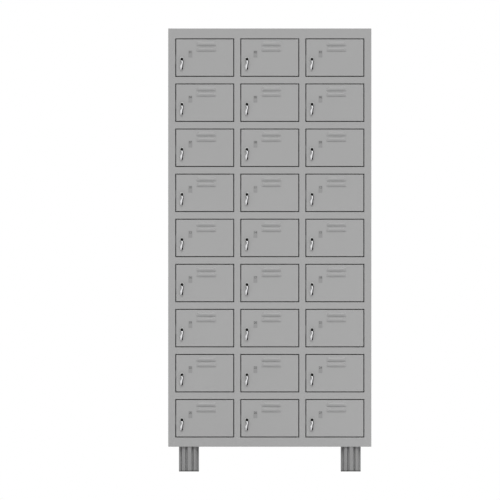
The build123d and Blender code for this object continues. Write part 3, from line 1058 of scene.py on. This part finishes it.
# %% [markdown]
# ## Holes of the door
# The latch needs a round hole in the face, and the pins one in the top and bottom of the rim. They
# are cut last, through the finished sheet, so that their walls are straight. Most parts of the
# latch lie on one axis, so rods on that axis get a short helper of their own.

# %% Drill the doors and copy them
def latch_rod(name, radius, start, length, sides=32):
    """A rod on the axis of the latch, in millimetres, from a start counted inwards from the door."""
    start = (latch_x, front + start * mm, latch_z)
    return add_rod(name, radius * mm, start, length * mm, inwards, sides)


cut_away(leaf, latch_rod("latch_hole", radius=7.1, start=-2, length=6))
pin_hole_start = (pin_x, pin_y, door_bottom - mm)
cut_away(leaf, add_rod("pin_hole", pin_hole, pin_hole_start, door_height + 2 * mm, upwards, sides=20))
repeat(leaf, "leaf", paint, "door_paint", "door_{}", "door_{}")

# %% [markdown]
# ## Hinge pins
# The door turns on two short pins near its right edge, with a collar on each inside the pan, and a
# washer under the door carries its weight. Each is a rod whose ends are softened, and they are
# welded into one piece, because none of them moves against the door.

# %% Turn the pins
pin_length = 22.2 * mm
# radius, sides, width and segments of the softened ends
pin = (2.5 * mm, 20, 0.5 * mm, 2)
collar = (4 * mm, 24, 0.3 * mm, 1)
washer = (4.5 * mm, 24, 0.3 * mm, 1)
turned = []
for (radius, sides, edge, segments), start, length, direction in (
    (pin, door_top - 13 * mm, pin_length, upwards),
    (pin, door_bottom + 13 * mm, pin_length, downwards),
    (collar, door_top - 3 * mm, 2 * mm, upwards),
    (collar, door_bottom + mm, 2 * mm, upwards),
    (washer, door_bottom - 3.7 * mm, 3.7 * mm, upwards),
):
    part = add_rod("pins", radius, (pin_x, pin_y, start), length, direction, sides)
    soften(part, edge, segments, angle=60)
    turned.append(part)
pins = turned[0]
for part in turned[1:]:
    weld_on(pins, part)
repeat(pins, "pins", dark_steel, "zinc_steel", "door_{}")

# %% [markdown]
# ## Latch housing
# The spindle of the latch turns in a flanged bush that a thin nut holds in the door. The flange,
# the barrel and the nut are rods, and the nut's rod has six sides.

# %% Turn the housing
nut_across_flats = 19
bush = latch_rod("bush", radius=9, start=-1.5, length=1.5, sides=40)
round_edges(bush, lambda a, b: max(a.y, b.y) < front - 1.4 * mm, 0.7 * mm, segments=3)
weld_on(bush, latch_rod("barrel", radius=7, start=-0.5, length=9.5))
nut = latch_rod("nut", radius=nut_across_flats / math.sqrt(3), start=1, length=4, sides=6)
soften(nut, 0.5 * mm, angle=50)
weld_on(bush, nut)
cut_away(bush, latch_rod("bore", radius=4.1, start=-3, length=20, sides=24))
repeat(bush, "bush", zinc, "zinc_steel", "door_{}")

# %% [markdown]
# ## Number plate
# A small aluminium plate with rounded corners sits on each door. Its four corners are rounded
# first, and then the rim of its face, which is a finer edge.

# %% Cut the plates
tag_x, tag_z = door_left + 63.5 * mm, door_top - 65.8 * mm
tag_half_width, tag_half_height, tag_sheet = 8.75 * mm, 15.5 * mm, 0.8 * mm
tag = add_block(
    "tag", (tag_x - tag_half_width, front - tag_sheet, tag_z - tag_half_height),
    (tag_x + tag_half_width, front, tag_z + tag_half_height),
)
round_edges(tag, lambda a, b: abs(a.y - b.y) > 0.1 * mm, 1.5 * mm, segments=4)
round_edges(tag, lambda a, b: max(a.y, b.y) < front - 0.5 * mm, 0.2 * mm, segments=2)
repeat(tag, "tag", plate, "zinc_steel", "door_{}")

# %% [markdown]
# ## Numbers
# The number of the compartment is printed in the upper half of its plate. It could be a picture,
# but text is sharp at every size. The text is turned into a mesh first, and only then moved to its
# door, so that its place goes into the mesh.

# %% Print the numbers
digit_size, digit_narrowing, digit_thickness = 14 * mm, 0.9, 0.06 * mm
for label, shift in grid:
    start_fresh()
    bpy.ops.object.text_add()
    text = bpy.context.object.data
    text.body = label
    text.size = digit_size
    text.offset = 0.2 * mm
    text.align_x = "CENTER"
    text.align_y = "CENTER"
    text.extrude = digit_thickness
    text.resolution_u = 4
    bpy.ops.object.convert(target="MESH")
    digits = bpy.context.object
    digits.rotation_euler = (math.radians(90), 0, 0)
    digits.scale = (digit_narrowing, 1, 1)
    digits.location = Vector((tag_x, front - 0.82 * mm, tag_z + 8.0 * mm)) + shift
    digits = named(f"digits_{label}")
    merge_points(digits)
    complete(digits, ink, "door_paint", f"door_{label}", flat=False)
print("numbers:", grid[0][0], "to", grid[-1][0])

# %% [markdown]
# ## Lever
# The lever hangs from the spindle in a long S. Its body is black and starts at a round hub with
# the key plug. A bent tube would be equally thick all along, and this one swells and thins. So it
# is drawn like a stick of clay: a disc is extruded downwards section by section, and each new end
# is moved and resized. Subdivision then makes one smooth form of it, a little thinner than its
# sections, which the widths below allow for.

# %% Draw the S
def draw_stick(name, sections, sides=12):
    """Extrudes an ellipse through sections: drop, side, out, width and thickness in millimetres."""
    start_fresh()
    drop, side, out, width, thick = sections[0]
    centre = Vector((latch_x + side * mm, front - out * mm, latch_z - drop * mm))
    bpy.ops.mesh.primitive_circle_add(vertices=sides, radius=0.5, fill_type="NGON", location=centre)
    bpy.context.object.scale = (width * mm, thick * mm, 1)
    stick = named(name)
    choose_all(stick)
    for drop, side, out, new_width, new_thick in sections[1:]:
        new = Vector((latch_x + side * mm, front - out * mm, latch_z - drop * mm))
        bpy.ops.mesh.extrude_region_move(TRANSFORM_OT_translate={"value": new - centre})
        bpy.ops.transform.resize(
            value=(new_width / width, new_thick / thick, 1), center_override=new, orient_type="GLOBAL"
        )
        centre, width, thick = new, new_width, new_thick
    point_outwards(stick)
    modify(stick, "SUBSURF", levels=2, render_levels=2)
    return stick


body_sections = (
    (-2, 0, 6.6, 8.4, 5.4), (0, 0, 6.6, 10, 6.2), (4.5, 1.4, 6.8, 8.4, 6.4), (7, 2.1, 6.9, 8.3, 6.3),
    (10, 3.1, 7.1, 8.1, 6), (13, 3.4, 7.3, 8, 5.8), (16, 3.4, 7.6, 7.6, 5.6), (19, 3, 7.9, 7.4, 5.4),
    (22, 1.8, 8.1, 8, 5.4), (25, 0.6, 8.3, 9.1, 5.5), (28, -0.2, 8.4, 10, 5.6),
    (31, -0.6, 8.5, 10.5, 5.6), (34, -0.4, 8.5, 10.2, 5.5), (37, 0, 8.4, 9.6, 5.4),
    (40, 0.5, 8.1, 8.9, 5.2), (43, 1.1, 7.8, 7.6, 4.6), (45.4, 1.3, 7.6, 5.8, 3.8),
    (46.7, 1.2, 7.6, 3.5, 2.4),
)
lever = draw_stick("lever", body_sections)
print("lever faces:", len(lever.data.polygons))

# %% [markdown]
# ## Hub and spindle
# The hub is a short rod with a rounded face and a round recess for the key plug. It is welded to
# the lever and to the spindle, which goes through the door to the cam.

# %% Weld the hub, the lever and the spindle
hub = latch_rod("hub", radius=6.5, start=-11.8, length=10, sides=48)
round_edges(hub, lambda a, b: max(a.y, b.y) < front - 11 * mm, 0.9 * mm, segments=4)
cut_away(hub, latch_rod("recess", radius=5, start=-13, length=3, sides=40))
weld_on(hub, lever)
weld_on(hub, latch_rod("spindle", radius=4, start=-4, length=25, sides=24))
repeat(hub, "lever", black, "chrome", "latch_{}", "latch_{}", flat=False, angle=40)

# %% [markdown]
# ## Chrome strip
# A chrome strip is set along the front of the lever, a little to the left, so the black body shows
# as a thin edge on the right and as the tip below: the body is the lever's own black plastic, placed
# so that it also serves as painted shade on the lever's right side and tip. It is drawn in the same
# way, with fewer sides, because it is slim.

# %% Draw the chrome strip
strip_sections = (
    (4.2, -0.4, 8.8, 3.4, 1.5), (6.2, 0, 9, 6.4, 3), (9, 1, 9.2, 6.9, 3.8), (13, 1.9, 9.4, 6.7, 3.9),
    (16, 2, 9.6, 6.3, 3.8), (19, 1.4, 9.8, 5.7, 3.7), (22, -0.1, 10, 6.3, 3.7),
    (25, -1.4, 10.2, 7.6, 3.8), (28, -2.4, 10.3, 9, 4), (31, -2.8, 10.4, 9.6, 4.1),
    (34, -2.9, 10.4, 9, 4), (37, -3.1, 10.3, 7.9, 3.8), (40, -3.4, 10.1, 6.7, 3.5),
    (43, -3.9, 9.7, 5.7, 3.1), (45.8, -4.2, 9.2, 4.3, 2.3), (47.4, -4.3, 8.9, 2.3, 1.6),
)
strip = draw_stick("strip", strip_sections, sides=10)
repeat(strip, "strip", chrome, "chrome", "latch_{}", flat=False, angle=60)

# %% [markdown]
# ## Key plug
# The key goes into a black plug in the hub. The plug is a rod with a softened rim, and a narrow
# block cuts its keyway. A painted line would look flat from the side.

# %% Make the plug
plug = latch_rod("plug", radius=4.9, start=-11.4, length=1.6)
round_edges(plug, lambda a, b: max(a.y, b.y) < front - 11 * mm, 0.4 * mm, segments=2)
cut_away(plug, add_block(
    "keyway", (latch_x - 0.65 * mm, front - 12 * mm, latch_z - 3 * mm),
    (latch_x + 0.65 * mm, front - 10.2 * mm, latch_z + 3 * mm),
))
repeat(plug, "plug", black, "chrome", "latch_{}", flat=False)

# %% [markdown]
# ## Cam
# Behind the door, the spindle carries a zinc plated cam, held by a washer and a screw with a cross
# recess. The cam is round at the spindle and runs out into an arm. Its outline is drawn point by
# point, because two shapes welded face to face leave slivers that spoil a bevel.

# %% Make the cam and its screw
cam_start = 21
cam_front = front + cam_start * mm
cam_outline = arc(0, 0, 8, 138.6, 401.4, 30) + [(6, 5.3)]
cam_outline += arc(3.5, 30.5, 2.5, 0, 90, 5) + arc(-3.5, 30.5, 2.5, 90, 180, 5) + [(-6, 30.5)]
cam = add_outline(
    "cam", cam_outline, lambda x, y: (latch_x + x * mm, cam_front, latch_z + y * mm), (0, 2.5 * mm, 0)
)
soften(cam, 0.3 * mm, angle=60)
weld_on(cam, latch_rod("washer", radius=6, start=cam_start + 2, length=1.5))
screw = latch_rod("screw", radius=4, start=cam_start + 3, length=3)
round_edges(screw, lambda a, b: min(a.y, b.y) > cam_front + 5 * mm, 1.1 * mm, segments=4)
recess_bottom, slot_long, slot_thin = cam_front + 4.6 * mm, 2.2 * mm, 0.45 * mm
for across, up in ((slot_long, slot_thin), (slot_thin, slot_long)):
    cut_away(screw, add_block(
        "slot", (latch_x - across, recess_bottom, latch_z - up),
        (latch_x + across, recess_bottom + 3 * mm, latch_z + up),
    ))
weld_on(cam, screw)
merge_points(cam)
repeat(cam, "cam", zinc, "zinc_steel", "latch_{}", flat=False)

# %% [markdown]
# ## Floor
# The locker stands on a plain pale floor. The camera sees it edge-on in the main picture, and from
# above in the others, where it keeps the shadow. A little of its brightness is its own, for camera
# rays only, so that it meets the white backdrop softly and sheds no light on the locker.

# %% Lay the floor
start_fresh()
bpy.ops.mesh.primitive_plane_add(size=14)
floor = named("floor")
material, tree, shader = new_finish("floor_white", specular=0.1)
speckle = add_node(tree, "ShaderNodeTexNoise", Scale=3.0, Detail=2.0).outputs["Fac"]
tone = add_node(tree, "ShaderNodeMapRange", Value=speckle, To_Min=0.86, To_Max=0.9).outputs[0]
camera_ray = add_node(tree, "ShaderNodeLightPath").outputs["Is Camera Ray"]
set_inputs(tree, shader, {
    "Base_Color": tone, "Roughness": 0.8, "Emission_Color": white,
    "Emission_Strength": calculate(tree, "MULTIPLY", camera_ray, 0.22),
})
floor.data.materials.append(material)
print("the floor is", round(floor.dimensions.x), "m wide")

# %% [markdown]
# ## Finish
# The last step leaves edit mode, clears the selection and brings the scene up to date.

# %% Finish
start_fresh()


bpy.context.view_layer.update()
